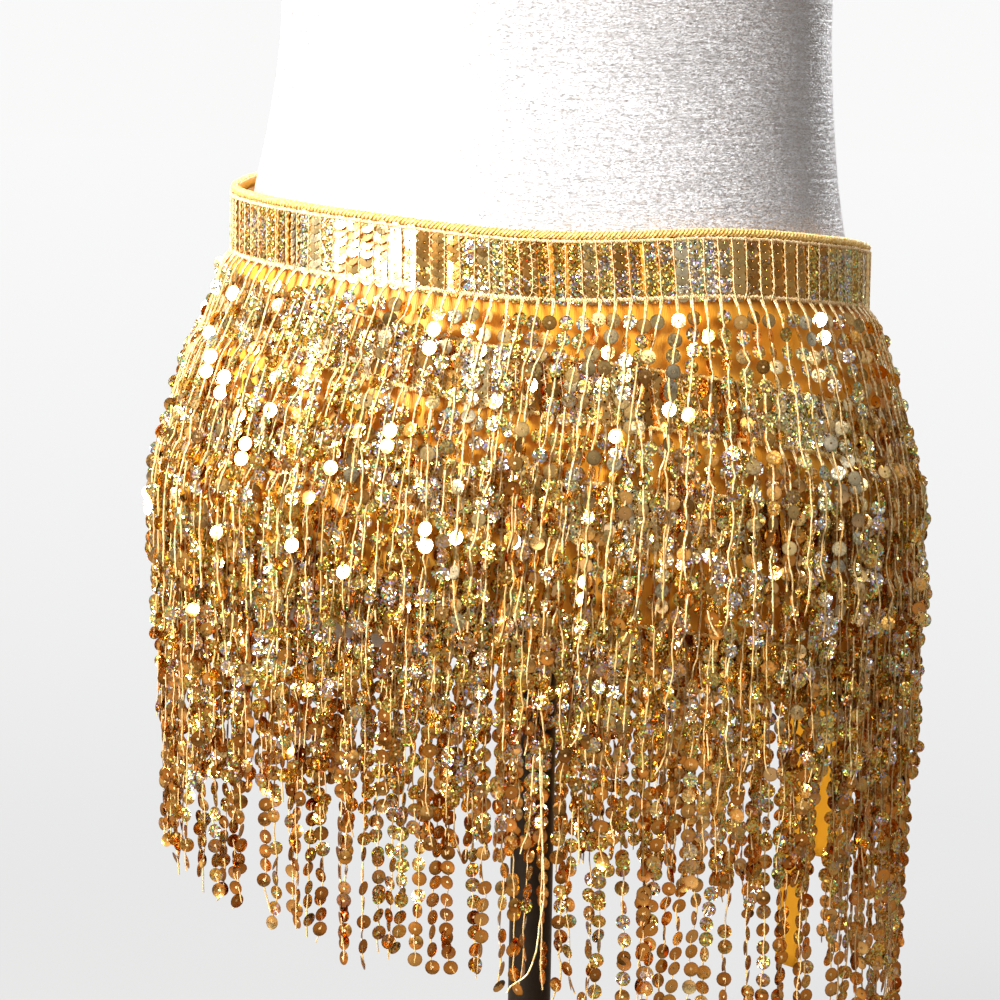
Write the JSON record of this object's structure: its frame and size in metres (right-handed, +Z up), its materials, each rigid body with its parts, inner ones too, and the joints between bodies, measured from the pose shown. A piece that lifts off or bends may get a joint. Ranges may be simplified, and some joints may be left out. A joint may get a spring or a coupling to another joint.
{
  "type": "belly dance hip scarf on a dress form stand",
  "caption": "Belly dance hip scarf: tiers of long sequin fringe under a sequinned band, tied at the back of a smooth limbless dress form on a pole and round foot.",
  "frame": {"origin": "centre of the foot's underside, on the surface it stands on", "axes": "+Z up along the pole, -Y to the front of the figure, +X to the side near the tie"},
  "size_m": [0.3748, 0.3, 1.054],
  "materials": {
    "dark_bronze": "dark bronze, satin",
    "silver_lame": "silver stretch lame, crinkled grain, soft metallic sheen",
    "mustard_satin": "mustard satin, soft sheen",
    "pale_gold_yarn": "pale gold yarn, ribbed",
    "gold_sequin": "mirror gold sequins with a holographic glitter"
  },
  "bodies": {
    "root": {"stand_base": "dark_bronze", "stand_pole": "dark_bronze", "form_socket": "dark_bronze", "form_body": "silver_lame", "ground_cloth": "mustard_satin", "waist_binding": "pale_gold_yarn", "header_1": "gold_sequin", "header_2": "gold_sequin", "header_3": "gold_sequin", "header_4": "gold_sequin", "fringe_1": "gold_sequin", "fringe_2": "gold_sequin", "fringe_3": "gold_sequin", "fringe_4": "gold_sequin", "tie_strap_a": "mustard_satin", "tie_strap_b": "mustard_satin", "tie_knot": "mustard_satin", "tie_end_long": "mustard_satin", "tie_end_short": "mustard_satin"}
  },
  "joints": []
}
